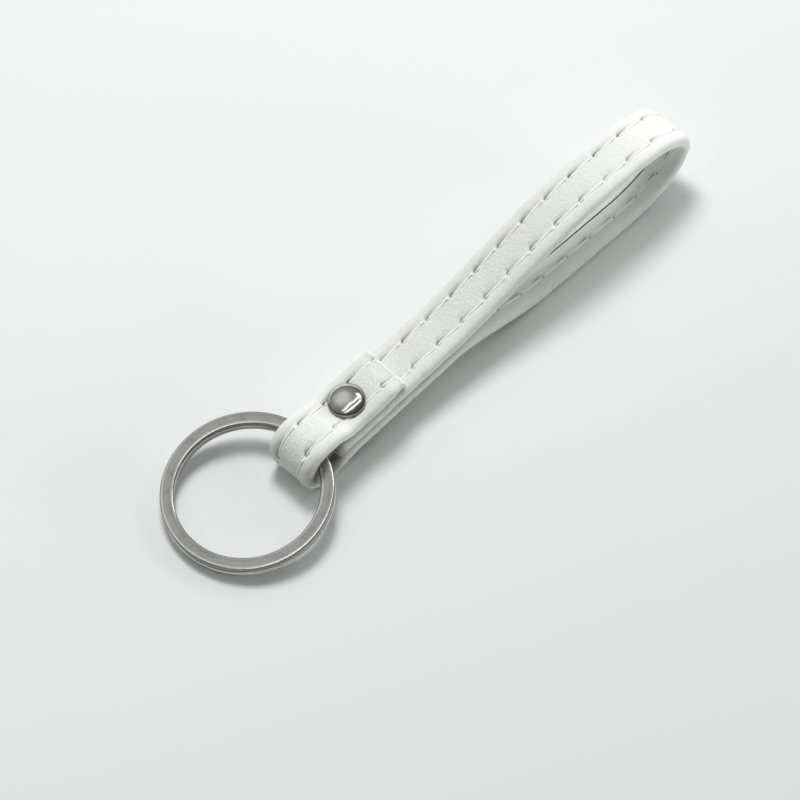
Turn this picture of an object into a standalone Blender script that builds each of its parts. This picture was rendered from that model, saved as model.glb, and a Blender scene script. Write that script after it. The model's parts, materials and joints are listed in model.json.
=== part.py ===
# A loop strap keychain lying on a table. One padded, stitched strip of coated fabric
# runs from a square end over a double-cap rivet, round the bar of a split ring, back
# underneath, round the far bend of the finger loop and in between its own two layers.
# Metres, +Z up. The strap runs toward +X, the ring lies toward -X, and the origin is
# on the table under the middle of the whole keychain.

import math

import bmesh
import bpy
from mathutils import Matrix, Vector

# Strip
STRAP_WIDTH = 0.010
STRAP_THICKNESS = 0.0026
SKIN_THICKNESS = 0.0006
EDGE_ROUND = 0.0015
EDGE_STEPS = 6
MARGIN_FALL = 0.00012
MARGIN_STEPS = 2
STITCH_LINE = 0.00245
GROOVE_WIDTH = 0.0006
GROOVE_DEPTH = 0.0002
PANEL_DROP = 0.0001
SEAM_WIDTH = 0.0003
CORE_GAP = 0.0002
CORE_EDGE_STEPS = 3

# Strap route, seen from the side
STRAP_LENGTH = 0.096
LOOP_HEIGHT = 0.017
FAR_TOP_BEND = 0.012
FAR_LOW_BEND = 0.015
FAR_TIP_SHARE = 0.58
CROWN_LENGTH = 0.009
TOUCH_FROM_RING = 0.054
TAB_LENGTH = 0.0245
CLOSED_RUN = 0.0105
LAYER_GAP = 0.0002
FACET_DEGREES = 7.5
FACET_RUN = 0.0042
SAMPLES_PER_SPAN = 48

# Split ring
RING_DIAMETER = 0.030
RING_WALL = 0.0024
RING_WIRE_HEIGHT = 0.0012
RING_WIRE_ROUND = 0.00035
RING_CORNER_STEPS = 2
RING_TURN_GAP = 0.00042
RING_TURN_STEPS = 60
CROSSOVER_DEGREES = 26.0
CROSSOVER_STEPS = 8
WIRE_END_GAP = 0.00045
SWING_CLEARANCE = 0.0003
BAR_SIDE = 0.002

# Double-cap rivet
RIVET_FROM_FOLD = 0.0149
CAP_DIAMETER = 0.0065
CAP_HEIGHT = 0.0019
CAP_RIM_HEIGHT = 0.0004
CAP_METAL = 0.0003
CAP_LIP_REACH = 0.0007
CAP_ARC_STEPS = 7
FLANGE_THICKNESS = 0.0003
FLANGE_SHARE = 0.6
TUBE_RADIUS = 0.0011
TUBE_BORE_RADIUS = 0.0008
PIN_RADIUS = 0.0006
PIN_HOLLOW_RADIUS = 0.0003
PIN_TIP_STEPS = 3
RIVET_GAP = 0.0002
REAR_CAP_LIFT = 0.0001
HOLE_GAP = 0.0003
CUT_OVERRUN = 0.001
RIVET_STEPS = 32

# Sizes that follow from the ones above
HALF_THICKNESS = STRAP_THICKNESS / 2
LAYER_PITCH = STRAP_THICKNESS + LAYER_GAP
RING_RADIUS = RING_DIAMETER / 2
RING_MID_RADIUS = RING_RADIUS - RING_WALL / 2
RING_HEIGHT = 2 * RING_WIRE_HEIGHT + RING_TURN_GAP
BAR_SAG = RING_MID_RADIUS - math.sqrt(RING_MID_RADIUS ** 2 - (STRAP_WIDTH / 2 + BAR_SIDE) ** 2)
BAR_ANGLE = -math.asin(BAR_SIDE / RING_MID_RADIUS)
BAR_REACH = math.hypot(
    RING_WALL / 2 + BAR_SAG / 2 - RING_WIRE_ROUND,
    RING_HEIGHT / 2 - RING_WIRE_ROUND,
) + RING_WIRE_ROUND
EYE_RADIUS = BAR_REACH + SWING_CLEARANCE
FOLD_RADIUS = EYE_RADIUS + HALF_THICKNESS
FOLD_OUTSIDE = FOLD_RADIUS + HALF_THICKNESS
EYE_LEAD = EYE_RADIUS + FOLD_RADIUS
RIVET_PLACE = RIVET_FROM_FOLD - FOLD_OUTSIDE
TAB_END_PLACE = TAB_LENGTH - FOLD_OUTSIDE
RELEASE_PLACE = TAB_END_PLACE + CLOSED_RUN
STACK_TOP = LAYER_PITCH + HALF_THICKNESS
CAP_SEAT = STACK_TOP + RIVET_GAP
CAP_TOP = CAP_SEAT + CAP_HEIGHT
REAR_RISE = FOLD_OUTSIDE - REAR_CAP_LIFT
CLAMP_TILT = math.atan2(CAP_TOP, RIVET_PLACE) - math.asin(REAR_RISE / math.hypot(CAP_TOP, RIVET_PLACE))
RING_OFFSET = RING_MID_RADIUS - BAR_SAG / 2
RIM_REACH = RING_OFFSET + RING_RADIUS - RING_WIRE_ROUND
RIM_RISE = RING_HEIGHT / 2 - RING_WIRE_ROUND
RIM_LIFT = FOLD_OUTSIDE - RING_WIRE_ROUND
RING_TILT = math.asin(RIM_LIFT / math.hypot(RIM_REACH, RIM_RISE)) - math.atan2(RIM_RISE, RIM_REACH)
RING_END = RIM_REACH * math.cos(RING_TILT) + RIM_RISE * math.sin(RING_TILT) + RING_WIRE_ROUND
EYE_X = (RING_END - (STRAP_LENGTH - FOLD_OUTSIDE)) / 2
EYE_CENTRE = Vector((EYE_X, -BAR_SIDE, FOLD_OUTSIDE))
FAR_END = EYE_X + STRAP_LENGTH - FOLD_OUTSIDE - HALF_THICKNESS
CAP_RADIUS = CAP_DIAMETER / 2
CAP_LIP_RADIUS = CAP_RADIUS - CAP_METAL - CAP_LIP_REACH
FLANGE_RADIUS = CAP_LIP_RADIUS + FLANGE_SHARE * CAP_LIP_REACH
FLANGE_SEAT = CAP_SEAT + CAP_METAL + RIVET_GAP


def clearScene():
    for item in list(bpy.data.objects):
        bpy.data.objects.remove(item, do_unlink=True)


def makeCollection(name):
    collection = bpy.data.collections.new(name)
    bpy.context.scene.collection.children.link(collection)
    return collection


def makeMaterial(name, colour, roughness, metallic):
    material = bpy.data.materials.new(name)
    material.use_nodes = True
    shader = material.node_tree.nodes["Principled BSDF"]
    shader.inputs["Base Color"].default_value = (*colour, 1)
    shader.inputs["Roughness"].default_value = roughness
    shader.inputs["Metallic"].default_value = metallic
    return material


def arcPoints(centre, reach, rise, start, end, steps):
    # Points of an elliptical arc, angles in degrees
    points = []
    for step in range(steps + 1):
        angle = math.radians(start + (end - start) * step / steps)
        points.append((centre[0] + reach * math.cos(angle), centre[1] + rise * math.sin(angle)))
    return points


def makeCurve(name, points, cyclic, dimensions, collection):
    data = bpy.data.curves.new(name, "CURVE")
    data.dimensions = dimensions
    data.resolution_u = 1
    data.render_resolution_u = 0
    spline = data.splines.new("POLY")
    spline.points.add(len(points) - 1)
    for place, point in zip(spline.points, points):
        place.co = (*point, *(0,) * (3 - len(point)), 1)
    spline.use_cyclic_u = cyclic
    item = bpy.data.objects.new(name, data)
    collection.objects.link(item)
    return item


def sweptMesh(name, path, profile, dimensions, collection, guides):
    # A closed outline carried along an open path, capped and welded
    outline = makeCurve(name + "_outline", profile, True, "2D", guides)
    rail = makeCurve(name + "_rail", path, False, dimensions, guides)
    rail.data.twist_mode = "Z_UP"
    rail.data.bevel_mode = "OBJECT"
    rail.data.bevel_object = outline
    rail.data.use_fill_caps = True
    bpy.context.view_layer.update()
    evaluated = rail.evaluated_get(bpy.context.evaluated_depsgraph_get())
    data = bpy.data.meshes.new_from_object(evaluated)
    data.name = name
    shape = bmesh.new()
    shape.from_mesh(data)
    bmesh.ops.remove_doubles(shape, verts=shape.verts, dist=RING_WIRE_ROUND / 100)
    bmesh.ops.recalc_face_normals(shape, faces=shape.faces)
    shape.to_mesh(data)
    shape.free()
    item = bpy.data.objects.new(name, data)
    collection.objects.link(item)
    bpy.data.objects.remove(rail, do_unlink=True)
    bpy.data.objects.remove(outline, do_unlink=True)
    return item


def smoothShade(item, degrees):
    item.data.shade_smooth()
    item.data.set_sharp_from_angle(angle=math.radians(degrees))


def clampKnot(along, above, heading):
    # A knot in the clamped stack's own frame, turned about the ring bar with the stack
    turned = Matrix.Rotation(CLAMP_TILT, 2) @ Vector((along, above))
    return EYE_CENTRE.x + turned.x, EYE_CENTRE.z + turned.y, math.radians(heading) + CLAMP_TILT


def tableKnot(along, above, heading):
    return along, above, math.radians(heading)


def strapKnots():
    # Middle of the strip, from the square tab end to the end hidden against the ring
    runTop = LOOP_HEIGHT - HALF_THICKNESS
    crownEnd = FAR_END - FAR_TOP_BEND
    return [
        clampKnot(TAB_END_PLACE, LAYER_PITCH, 180),
        clampKnot(EYE_LEAD, LAYER_PITCH, 180),
        clampKnot(0, FOLD_RADIUS, 180),
        clampKnot(-FOLD_RADIUS, 0, 270),
        clampKnot(0, -FOLD_RADIUS, 360),
        clampKnot(EYE_LEAD, -LAYER_PITCH, 360),
        clampKnot(RELEASE_PLACE, -LAYER_PITCH, 360),
        tableKnot(EYE_X + TOUCH_FROM_RING, HALF_THICKNESS, 360),
        tableKnot(FAR_END - FAR_LOW_BEND, HALF_THICKNESS, 360),
        tableKnot(FAR_END, LOOP_HEIGHT * FAR_TIP_SHARE, 450),
        tableKnot(crownEnd, runTop, 540),
        tableKnot(crownEnd - CROWN_LENGTH, runTop, 540),
        clampKnot(RELEASE_PLACE, 0, 540),
        clampKnot(EYE_RADIUS + LAYER_GAP, 0, 540),
    ]


def handleShare(turn):
    # A round bend's handle, as a share of the step that the bend makes along that handle
    square = math.tan(turn / 4) ** 2
    return (1 + square) ** 2 / (3 * (1 - square))


def spanPoints(first, second):
    # One smooth span between two knots, a quarter of an ellipse where it turns by a right angle
    start = Vector(first[:2])
    end = Vector(second[:2])
    setOff = Vector((math.cos(first[2]), math.sin(first[2])))
    goIn = Vector((math.cos(second[2]), math.sin(second[2])))
    share = handleShare(second[2] - first[2])
    leave = start + share * (end - start).dot(setOff) * setOff
    arrive = end - share * (end - start).dot(goIn) * goIn
    points = []
    for step in range(SAMPLES_PER_SPAN + 1):
        t = step / SAMPLES_PER_SPAN
        s = 1 - t
        points.append(s ** 3 * start + 3 * s * s * t * leave + 3 * s * t * t * arrive + t ** 3 * end)
    return points


def strapPath():
    # Fine samples thinned out: a point where the strip has turned or run far enough
    knots = strapKnots()
    fine = [Vector(knots[0][:2])]
    for first, second in zip(knots, knots[1:]):
        fine += spanPoints(first, second)[1:]
    path = [fine[0]]
    turned = 0
    run = 0
    for before, here, after in zip(fine, fine[1:], fine[2:]):
        turned += abs((here - before).angle_signed(after - here))
        run += (here - before).length
        if turned >= math.radians(FACET_DEGREES) or run >= FACET_RUN:
            path.append(here)
            turned = 0
            run = 0
    if (fine[-1] - path[-1]).length < FACET_RUN / 2:
        path.pop()
    path.append(fine[-1])
    return path


def skinOutline():
    # Cross-section of the folded skin: outside round the strip, inside back round the core.
    # First value runs out from the strip's middle plane, second across its width.
    half = STRAP_WIDTH / 2
    face = HALF_THICKNESS - PANEL_DROP
    side = half - EDGE_ROUND
    groove = GROOVE_WIDTH / 2
    outer = [(-HALF_THICKNESS, SEAM_WIDTH / 2)]
    outer += [
        (rise, across)
        for across, rise in arcPoints((side, 0), EDGE_ROUND, HALF_THICKNESS, -90, 90, EDGE_STEPS)
    ]
    reach = side - STITCH_LINE - groove
    outer += [
        (rise, across)
        for across, rise in arcPoints(
            (side, HALF_THICKNESS - MARGIN_FALL), reach, MARGIN_FALL, 90, 180, MARGIN_STEPS
        )[1:]
    ]
    outer += [(HALF_THICKNESS - MARGIN_FALL - GROOVE_DEPTH, STITCH_LINE), (face, STITCH_LINE - groove)]
    inner = [
        (rise, across)
        for across, rise in arcPoints(
            (side, 0), EDGE_ROUND - SKIN_THICKNESS, HALF_THICKNESS - SKIN_THICKNESS, 90, -90, CORE_EDGE_STEPS
        )
    ]
    inner[0] = (face - SKIN_THICKNESS, side)
    inner.append((SKIN_THICKNESS - HALF_THICKNESS, SEAM_WIDTH / 2))
    mirrored = [(rise, -across) for rise, across in reversed(outer)]
    mirroredInner = [(rise, -across) for rise, across in reversed(inner)]
    return outer + mirrored + mirroredInner + inner


def coreOutline():
    # Flat filler that the skin is folded round
    rise = HALF_THICKNESS - SKIN_THICKNESS - CORE_GAP
    top = rise - PANEL_DROP
    side = STRAP_WIDTH / 2 - EDGE_ROUND
    reach = EDGE_ROUND - SKIN_THICKNESS - CORE_GAP
    half = [
        (height, across)
        for across, height in arcPoints((side, 0), reach, rise, -90, 90, CORE_EDGE_STEPS)
    ]
    half[-1] = (top, side)
    return half + [(height, -across) for height, across in reversed(half)]


def layStrapUpright(item):
    # The route is drawn flat and stood up: its second axis becomes height
    item.location.y = EYE_CENTRE.y
    item.rotation_euler = (math.pi / 2, 0, 0)


def makeStrapCover(parts, guides, material):
    cover = sweptMesh("strap_cover", strapPath(), skinOutline(), "2D", parts, guides)
    layStrapUpright(cover)
    cover.data.materials.append(material)
    smoothShade(cover, 40)
    return cover


def makeStrapCore(parts, guides, material):
    core = sweptMesh("strap_core", strapPath(), coreOutline(), "2D", parts, guides)
    layStrapUpright(core)
    core.data.materials.append(material)
    smoothShade(core, 40)
    return core


def makeRivetFrame(parts):
    # Empty on the rivet's axis, halfway through the stack and tilted with it
    frame = bpy.data.objects.new("rivet_frame", None)
    parts.objects.link(frame)
    x, z, _ = clampKnot(RIVET_PLACE, 0, 0)
    frame.location = (x, EYE_CENTRE.y, z)
    frame.rotation_euler = (0, -CLAMP_TILT, 0)
    frame.empty_display_size = CAP_DIAMETER
    return frame


def makeRivetHole(cutters, frame):
    depth = 2 * (STACK_TOP + CUT_OVERRUN)
    bpy.ops.mesh.primitive_cylinder_add(vertices=RIVET_STEPS, radius=TUBE_RADIUS + HOLE_GAP, depth=depth)
    hole = bpy.context.object
    hole.name = "rivet_hole"
    for owner in list(hole.users_collection):
        owner.objects.unlink(hole)
    cutters.objects.link(hole)
    hole.parent = frame
    hole.hide_render = True
    hole.display_type = "WIRE"
    return hole


def cutHole(item, hole):
    cut = item.modifiers.new("rivet_hole", "BOOLEAN")
    cut.operation = "DIFFERENCE"
    cut.solver = "EXACT"
    cut.object = hole


def turnedPart(name, profile, parts, frame, material):
    # A closed profile, radius and height, turned about the frame's axis
    data = bpy.data.meshes.new(name)
    shape = bmesh.new()
    corners = [shape.verts.new((radius, 0, height)) for radius, height in profile]
    for first, second in zip(corners, corners[1:]):
        shape.edges.new((first, second))
    if profile[0][0] > 0:
        shape.edges.new((corners[-1], corners[0]))
    shape.to_mesh(data)
    shape.free()
    item = bpy.data.objects.new(name, data)
    parts.objects.link(item)
    screw = item.modifiers.new("turn", "SCREW")
    screw.steps = RIVET_STEPS
    screw.render_steps = RIVET_STEPS
    screw.use_merge_vertices = True
    screw.merge_threshold = RIVET_GAP / 100
    screw.use_smooth_shade = True
    item.parent = frame
    item.data.materials.append(material)
    return item


def capShellProfile():
    # Domed cap: down the outside, in under the rim, round the curled lip and up inside
    dome = CAP_HEIGHT - CAP_RIM_HEIGHT
    outside = arcPoints((0, CAP_SEAT + CAP_RIM_HEIGHT), CAP_RADIUS, dome, 90, 0, CAP_ARC_STEPS)
    inside = arcPoints(
        (0, CAP_SEAT + CAP_RIM_HEIGHT), CAP_RADIUS - CAP_METAL, dome - CAP_METAL, 0, 90, CAP_ARC_STEPS
    )
    lip = [
        (CAP_RADIUS - CAP_METAL / 2, CAP_SEAT),
        (CAP_LIP_RADIUS, CAP_SEAT),
        (CAP_LIP_RADIUS, CAP_SEAT + CAP_METAL),
        (CAP_RADIUS - CAP_METAL, CAP_SEAT + CAP_METAL),
    ]
    return onAxis(outside + lip + inside)


def onAxis(profile):
    # The two ends of a profile that starts and stops on the axis, set exactly on it
    return [(0, profile[0][1])] + profile[1:-1] + [(0, profile[-1][1])]


def socketProfile():
    # Flange held inside the upper cap, drawn down into a tube open at its lower end
    top = FLANGE_SEAT + FLANGE_THICKNESS
    tubeEnd = -LAYER_PITCH
    return onAxis([
        (0, top),
        (FLANGE_RADIUS, top),
        (FLANGE_RADIUS, FLANGE_SEAT),
        (TUBE_RADIUS, FLANGE_SEAT),
        (TUBE_RADIUS, tubeEnd),
        (TUBE_BORE_RADIUS, tubeEnd),
        (TUBE_BORE_RADIUS, FLANGE_SEAT),
        (0, FLANGE_SEAT),
    ])


def pinProfile():
    # Flange held inside the rear cap, drawn up into a hollow pin with a closed, rounded tip
    tip = FLANGE_SEAT - RIVET_GAP - PIN_RADIUS
    tube = arcPoints((0, tip), PIN_RADIUS, PIN_RADIUS, 90, 0, PIN_TIP_STEPS)
    hollow = arcPoints((0, tip), PIN_HOLLOW_RADIUS, PIN_HOLLOW_RADIUS, 0, 90, PIN_TIP_STEPS)
    flange = [
        (PIN_RADIUS, -FLANGE_SEAT),
        (FLANGE_RADIUS, -FLANGE_SEAT),
        (FLANGE_RADIUS, -FLANGE_SEAT - FLANGE_THICKNESS),
        (PIN_HOLLOW_RADIUS, -FLANGE_SEAT - FLANGE_THICKNESS),
    ]
    return onAxis(tube + flange + hollow)


def makeRivet(parts, frame, capMaterial, stemMaterial):
    shell = capShellProfile()
    rearShell = [(radius, -height) for radius, height in reversed(shell)]
    return [
        turnedPart("rivet_cap_shell", shell, parts, frame, capMaterial),
        turnedPart("rivet_cap_socket", socketProfile(), parts, frame, stemMaterial),
        turnedPart("rivet_rear_shell", rearShell, parts, frame, capMaterial),
        turnedPart("rivet_rear_pin", pinProfile(), parts, frame, stemMaterial),
    ]


def wireOutline():
    # Flat wire with rounded corners: first value outward from the ring, second up
    reach = RING_WALL / 2 - RING_WIRE_ROUND
    rise = RING_WIRE_HEIGHT / 2 - RING_WIRE_ROUND
    outline = []
    for across, up, start in ((reach, rise, 0), (-reach, rise, 90), (-reach, -rise, 180), (reach, -rise, 270)):
        outline += arcPoints(
            (across, up), RING_WIRE_ROUND, RING_WIRE_ROUND, start, start + 90, RING_CORNER_STEPS
        )
    return outline


def turnLevel(angle):
    # Height of the wire's middle after it has turned through an angle from the crossover's far side
    high = (RING_WIRE_HEIGHT + RING_TURN_GAP) / 2
    crossover = math.radians(CROSSOVER_DEGREES)
    down = (angle - (2 * math.pi - crossover)) / crossover
    if down <= 0:
        return high
    if down >= 1:
        return -high
    return high * math.cos(math.pi * down)


def ringPath():
    # Two turns of one wire, drawn from the eye's middle, the step between them hidden in the fold
    crossover = math.radians(CROSSOVER_DEGREES)
    endTurn = WIRE_END_GAP / RING_MID_RADIUS
    plain = 2 * math.pi - crossover
    turnStops = [endTurn + (plain - endTurn) * step / RING_TURN_STEPS for step in range(RING_TURN_STEPS)]
    stops = list(turnStops)
    stops += [plain + crossover * step / CROSSOVER_STEPS for step in range(CROSSOVER_STEPS + 1)]
    stops += [2 * math.pi + stop for stop in turnStops]
    stops[-1] = 2 * math.pi + plain - endTurn
    path = []
    for stop in stops:
        angle = stop + crossover / 2 + BAR_ANGLE
        path.append((
            RING_MID_RADIUS * math.cos(angle) - RING_OFFSET,
            RING_MID_RADIUS * math.sin(angle) + BAR_SIDE,
            turnLevel(stop),
        ))
    return path


def makeSplitRing(parts, guides, material):
    # Built round the bar's own middle, which is where the ring swings in the fold
    ring = sweptMesh("split_ring", ringPath(), wireOutline(), "3D", parts, guides)
    ring.location = EYE_CENTRE
    ring.rotation_euler = (0, -RING_TILT, 0)
    ring.data.materials.append(material)
    smoothShade(ring, 50)
    return ring


def printLeastGap():
    # Nearest approach of the two turns, between outline points at least half a turn apart
    sections = []
    path = ringPath()
    for across, along, level in path:
        outward = Vector((across + RING_OFFSET, along - BAR_SIDE, 0)).normalized()
        sections.append([
            Vector((across, along, level + up)) + out * outward for out, up in wireOutline()
        ])
    half = (len(path) - 1) // 2
    least = min(
        (first - second).length
        for here, section in enumerate(sections)
        for other in sections[here + half - 2 * CROSSOVER_STEPS:]
        for first in section
        for second in other
    )
    print("least gap between the ring's turns, mm:", round(least * 1000, 3))


def build():
    clearScene()
    parts = makeCollection("leather_keychain")
    cutters = makeCollection("cutters")
    guides = makeCollection("guides")
    white = makeMaterial("white_coated_fabric", (0.86, 0.86, 0.84), 0.5, 0)
    filler = makeMaterial("filler_board", (0.62, 0.58, 0.52), 0.9, 0)
    steel = makeMaterial("ring_steel", (0.56, 0.55, 0.53), 0.28, 1)
    polished = makeMaterial("cap_chrome", (0.72, 0.72, 0.71), 0.08, 1)
    plain = makeMaterial("stem_steel", (0.6, 0.6, 0.6), 0.35, 1)
    cover = makeStrapCover(parts, guides, white)
    core = makeStrapCore(parts, guides, filler)
    frame = makeRivetFrame(parts)
    hole = makeRivetHole(cutters, frame)
    cutHole(cover, hole)
    cutHole(core, hole)
    makeRivet(parts, frame, polished, plain)
    makeSplitRing(parts, guides, steel)
    printLeastGap()


build()
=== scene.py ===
import json
import math

import bmesh
import bpy
import numpy as np
from mathutils import Matrix, Vector


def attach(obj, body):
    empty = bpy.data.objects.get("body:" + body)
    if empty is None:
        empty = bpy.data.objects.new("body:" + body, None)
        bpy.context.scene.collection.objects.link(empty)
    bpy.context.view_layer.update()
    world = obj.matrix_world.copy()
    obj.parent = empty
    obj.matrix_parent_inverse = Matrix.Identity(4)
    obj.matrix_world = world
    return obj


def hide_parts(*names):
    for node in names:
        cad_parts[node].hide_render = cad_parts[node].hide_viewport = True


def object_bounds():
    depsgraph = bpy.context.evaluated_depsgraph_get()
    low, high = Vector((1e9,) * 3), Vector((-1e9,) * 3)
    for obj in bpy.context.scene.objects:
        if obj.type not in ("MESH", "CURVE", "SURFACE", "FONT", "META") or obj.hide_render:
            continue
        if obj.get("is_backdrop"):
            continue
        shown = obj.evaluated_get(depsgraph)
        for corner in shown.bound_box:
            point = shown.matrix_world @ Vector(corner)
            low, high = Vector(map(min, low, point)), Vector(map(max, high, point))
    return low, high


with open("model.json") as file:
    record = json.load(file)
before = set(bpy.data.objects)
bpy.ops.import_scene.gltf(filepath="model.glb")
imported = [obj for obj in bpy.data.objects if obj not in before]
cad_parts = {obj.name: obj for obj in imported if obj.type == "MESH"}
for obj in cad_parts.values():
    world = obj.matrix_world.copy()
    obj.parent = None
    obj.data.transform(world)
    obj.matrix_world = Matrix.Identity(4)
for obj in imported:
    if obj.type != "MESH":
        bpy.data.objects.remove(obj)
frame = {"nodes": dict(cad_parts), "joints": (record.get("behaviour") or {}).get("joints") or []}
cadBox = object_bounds()
ringHinge = [joint for joint in frame["joints"] if joint["name"] == "ring_swing"][0]
eyeCentre = Vector(ringHinge["pos_m"])
print("frame loaded, middle of the ring bar at", [round(value, 5) for value in eyeCentre])


# A value inside a material, so that sums over a surface read as plain expressions
class Wire:
    def __init__(self, finish, socket):
        self.finish = finish
        self.socket = socket

    def __add__(self, other):
        return self.finish.sum("ADD", self, other)

    def __sub__(self, other):
        return self.finish.sum("SUBTRACT", self, other)

    def __rsub__(self, other):
        return self.finish.sum("SUBTRACT", other, self)

    def __mul__(self, other):
        return self.finish.sum("MULTIPLY", self, other)

    __radd__ = __add__
    __rmul__ = __mul__


# One material while it is being made: its nodes and its shader
class Finish:
    def __init__(self, name, **constants):
        self.material = bpy.data.materials.new(name)
        self.material.use_nodes = True
        self.tree = self.material.node_tree
        self.shader = self.tree.nodes["Principled BSDF"]
        for socket, value in constants.items():
            self.shader.inputs[socket.replace("_", " ")].default_value = value

    def node(self, kind, settings, inputs, output=0):
        made = self.tree.nodes.new("ShaderNode" + kind)
        for name, value in settings.items():
            setattr(made, name, value)
        for name, value in inputs.items():
            if isinstance(value, Wire):
                self.tree.links.new(value.socket, made.inputs[name])
            else:
                made.inputs[name].default_value = value
        return Wire(self, made.outputs[output])

    def sum(self, operation, first, second):
        return self.node("Math", {"operation": operation}, {0: first, 1: second})

    def within(self, value, low, high):
        # 0 at low, 1 at high, eased and held outside
        return self.node(
            "MapRange", {"interpolation_type": "SMOOTHSTEP"}, {0: value, 1: low, 2: high, 3: 0.0, 4: 1.0}
        )

    def place(self):
        return self.node("TexCoord", {}, {}, "Object")

    def read(self, attribute):
        return self.node("Attribute", {"attribute_name": attribute}, {}, "Vector")

    def part(self, vector, letter):
        return self.node("SeparateXYZ", {}, {0: vector}, letter)

    def stretch(self, vector, shares):
        return self.node("VectorMath", {"operation": "MULTIPLY"}, {0: vector, 1: shares})

    def flat(self, vector):
        # Without its third part
        return self.stretch(vector, (1.0, 1.0, 0.0))

    def noise(self, vector, size, detail):
        # size is the width of one patch, in metres
        return self.node("TexNoise", {}, {"Vector": vector, "Scale": 1 / size, "Detail": detail}, "Fac")

    def cells(self, vector, size):
        inputs = {"Vector": vector, "Scale": 1 / size}
        return self.node("TexVoronoi", {"feature": "SMOOTH_F1"}, inputs, "Distance")

    def blend(self, factor, first, second):
        return self.node("Mix", {"data_type": "RGBA"}, {0: factor, 6: first, 7: second}, 2)

    def layers(self, colour, look, **shares):
        # Further colours of the look laid on one after the other, each by its share
        for name, share in shares.items():
            colour = self.blend(share, colour, look[name])
        return colour

    def total(self, start, weights, **parts):
        for name, part in parts.items():
            start = start + part * weights[name]
        return start

    def relief(self, height, depth, strength=1.0, onto=None):
        inputs = {"Height": height, "Distance": depth, "Strength": strength}
        if onto:
            inputs["Normal"] = onto
        return self.node("Bump", {}, inputs)

    def feed(self, **sockets):
        for name, value in sockets.items():
            self.tree.links.new(value.socket, self.shader.inputs[name.replace("_", " ")])
        return self.material


def shade(red, green, blue):
    # A colour as a screen shows it, 0 to 255, turned into the light that it stands for
    return tuple(((value / 255 + 0.055) / 1.055) ** 2.4 for value in (red, green, blue)) + (1,)


def addObject(name, data):
    item = bpy.data.objects.new(name, data)
    bpy.context.scene.collection.objects.link(item)
    return item


# Camera at the photograph's angle. The ring bar's middle falls on one pixel, at one scale.
cameraView = {
    "azimuth": -45.3,
    "elevation": 57.0,
    "fieldOfView": 10.0,
    "imageSize": 800,
    "barPixel": (309, 449),
    "pixelsPerMetre": 5870,
    "nearClip": 0.01,
}


def makeCamera(view):
    azimuth = math.radians(view["azimuth"])
    elevation = math.radians(view["elevation"])
    fieldOfView = math.radians(view["fieldOfView"])
    level = math.cos(elevation)
    back = Vector((math.sin(azimuth) * level, -math.cos(azimuth) * level, math.sin(elevation)))
    turn = back.to_track_quat("Z", "Y")
    focal = view["imageSize"] / 2 / math.tan(fieldOfView / 2)
    away = focal / view["pixelsPerMetre"]
    right = turn @ Vector((1, 0, 0))
    up = turn @ Vector((0, 1, 0))
    across = (view["barPixel"][0] - view["imageSize"] / 2) / view["pixelsPerMetre"]
    down = (view["barPixel"][1] - view["imageSize"] / 2) / view["pixelsPerMetre"]
    lens = bpy.data.cameras.new("camera")
    lens.angle = fieldOfView
    lens.clip_start = away * view["nearClip"]
    camera = addObject("camera", lens)
    camera.location = eyeCentre + back * away - right * across + up * down
    camera.rotation_mode = "QUATERNION"
    camera.rotation_quaternion = turn
    bpy.context.scene.camera = camera
    print("camera stands", round(away, 4), "m from the ring bar")


# Room: a soft lamp high behind the object, a weak one beyond it, a lamp at the far end of the strap and a
# low fill on the near side. Two long lights beside the strap show only as streaks in the metal.
# The sky glows overhead, is greyer behind the object and is dark at the horizon.
room = {
    "floorColour": shade(236, 239, 238),
    # Painted shade: the floor's colour on the camera's side
    "floorNearShade": shade(222, 225, 224),
    "floorNearShare": 0.7,
    "floorTurn": (-0.11, 0.05),
    "floorPatch": (0.4, 1.0),
    "floorDrift": 0.3,
    "floorRough": 0.6,
    "floorRadius": 3.0,
    "floorSides": 64,
    "floorDrop": 0.0001,
    "skyDark": (0.08, 0.081, 0.08),
    "skyBack": (0.31, 0.313, 0.312),
    "backToward": (0.0, 0.6, 0.8),
    "backEdges": (-0.15, 1.0),
    "skyGlow": (0.66, 0.666, 0.664),
    "glowToward": (-0.1, 0.45, 0.89),
    "glowEdges": (0.66, 1.0),
    "lamps": [
        {"name": "key_lamp", "place": (0.17, 0.30, 0.75), "size": 0.27, "breadth": 0.27, "power": 4.5},
        {"name": "far_lamp", "place": (0.8, 0.45, 0.58), "size": 0.3, "breadth": 0.3, "power": 0.5},
        {"name": "end_lamp", "place": (0.95, -0.14, 0.60), "size": 0.34, "breadth": 0.3, "power": 1.6},
        {"name": "long_light", "place": (0, -0.36, 1.0), "size": 3.2, "breadth": 0.15, "power": 2.5},
        {"name": "low_long_light", "place": (0, -0.77, 0.93), "size": 3.2, "breadth": 0.18, "power": 3.2},
        {"name": "side_fill", "place": (0.65, -0.75, 0.15), "size": 0.4, "breadth": 0.2, "power": 2.8},
    ],
    "unmirrored": ("key_lamp", "far_lamp", "side_fill"),
    "onlyMirrored": ("long_light", "low_long_light"),
}


# The sky while it is being made, from the same parts as a material
class Sky(Finish):
    def __init__(self, name):
        self.material = bpy.data.worlds.new(name)
        self.material.use_nodes = True
        self.tree = self.material.node_tree
        self.shader = self.tree.nodes["Background"]


def makeSky(room):
    sky = Sky("pale_sky")
    direction = sky.node("TexCoord", {}, {}, "Generated")
    colour = (*room["skyDark"], 1)
    for part in ("back", "glow"):
        toward = sky.node(
            "VectorMath", {"operation": "DOT_PRODUCT"}, {0: direction, 1: room[part + "Toward"]}, "Value"
        )
        share = sky.within(toward, *room[part + "Edges"])
        colour = sky.blend(share, colour, (*room["sky" + part.capitalize()], 1))
    return sky.feed(Color=colour)


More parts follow.
